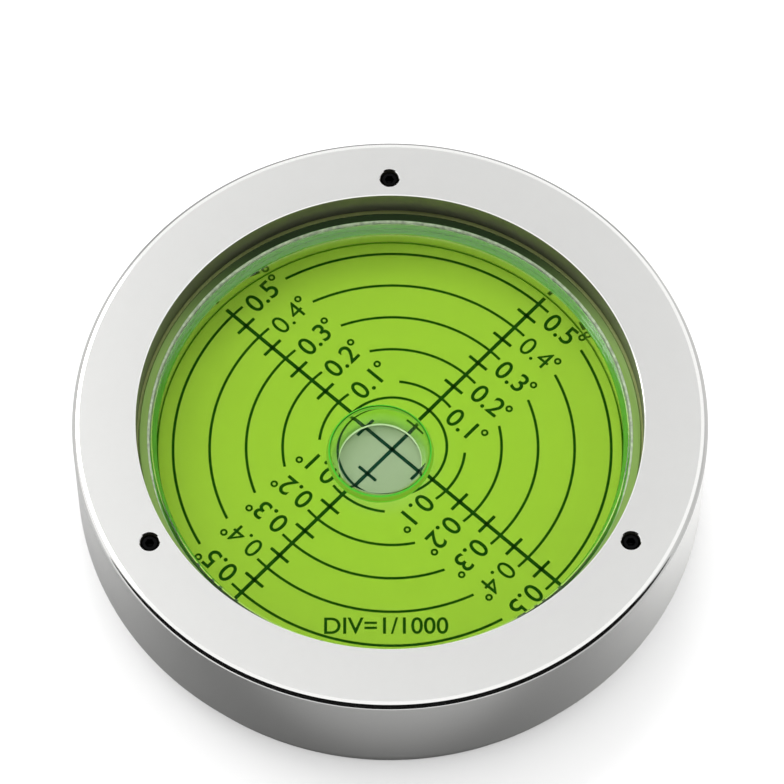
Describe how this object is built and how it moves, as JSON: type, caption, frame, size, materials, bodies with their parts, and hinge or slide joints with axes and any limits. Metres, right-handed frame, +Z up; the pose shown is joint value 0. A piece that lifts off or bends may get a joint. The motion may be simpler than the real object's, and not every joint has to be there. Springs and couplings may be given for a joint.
{
  "type": "bullseye level",
  "caption": "Adjustable bullseye level: a round green vial with a degree scale, trimmed by set screws in the rim of a turned aluminium housing.",
  "frame": {"origin": "centre of the base plate's underside, on the surface that the level stands on", "axes": "+Z up through the window, +Y from the centre towards the first adjusting screw, +X to the right of it"},
  "size_m": [0.069, 0.069, 0.017],
  "materials": {
    "housing_aluminium": "fine satin, clear anodised",
    "carrier_aluminium": "turned and milled",
    "clear_acrylic": "clear, polished",
    "frosted_cement": "frosted",
    "scale_white": "matt, printed",
    "green_liquid": "clear green liquid",
    "stopper_plastic": "clear",
    "black_steel": "black oxide",
    "spring_steel": "drawn wire",
    "plated_steel": "zinc plated"
  },
  "bodies": {
    "level": {"housing": "housing_aluminium", "base_plate": "housing_aluminium", "vial_carrier": "carrier_aluminium", "vial_cup": "clear_acrylic", "vial_lens": "clear_acrylic", "lens_bond": "frosted_cement", "scale_disc": "scale_white", "vial_liquid": "green_liquid", "filler_plug": "stopper_plastic", "carrier_spring_1": "spring_steel", "base_screw_1": "plated_steel", "carrier_spring_2": "spring_steel", "base_screw_2": "plated_steel", "carrier_spring_3": "spring_steel", "base_screw_3": "plated_steel"},
    "adjusting_screw_1": {"adjusting_screw_1": "black_steel"},
    "adjusting_screw_2": {"adjusting_screw_2": "black_steel"},
    "adjusting_screw_3": {"adjusting_screw_3": "black_steel"}
  },
  "joints": [
    {"name": "adjusting_screw_1_turn", "type": "hinge", "parent": "level", "child": "adjusting_screw_1", "pos_m": [0, 0.0298, 0.01465], "axis": [0, 0, -1], "range_deg": [-360, 360]},
    {"name": "adjusting_screw_2_turn", "type": "hinge", "parent": "level", "child": "adjusting_screw_2", "pos_m": [-0.02581, -0.0149, 0.01465], "axis": [0, 0, -1], "range_deg": [-360, 360]},
    {"name": "adjusting_screw_3_turn", "type": "hinge", "parent": "level", "child": "adjusting_screw_3", "pos_m": [0.02581, -0.0149, 0.01465], "axis": [0, 0, -1], "range_deg": [-360, 360]}
  ]
}
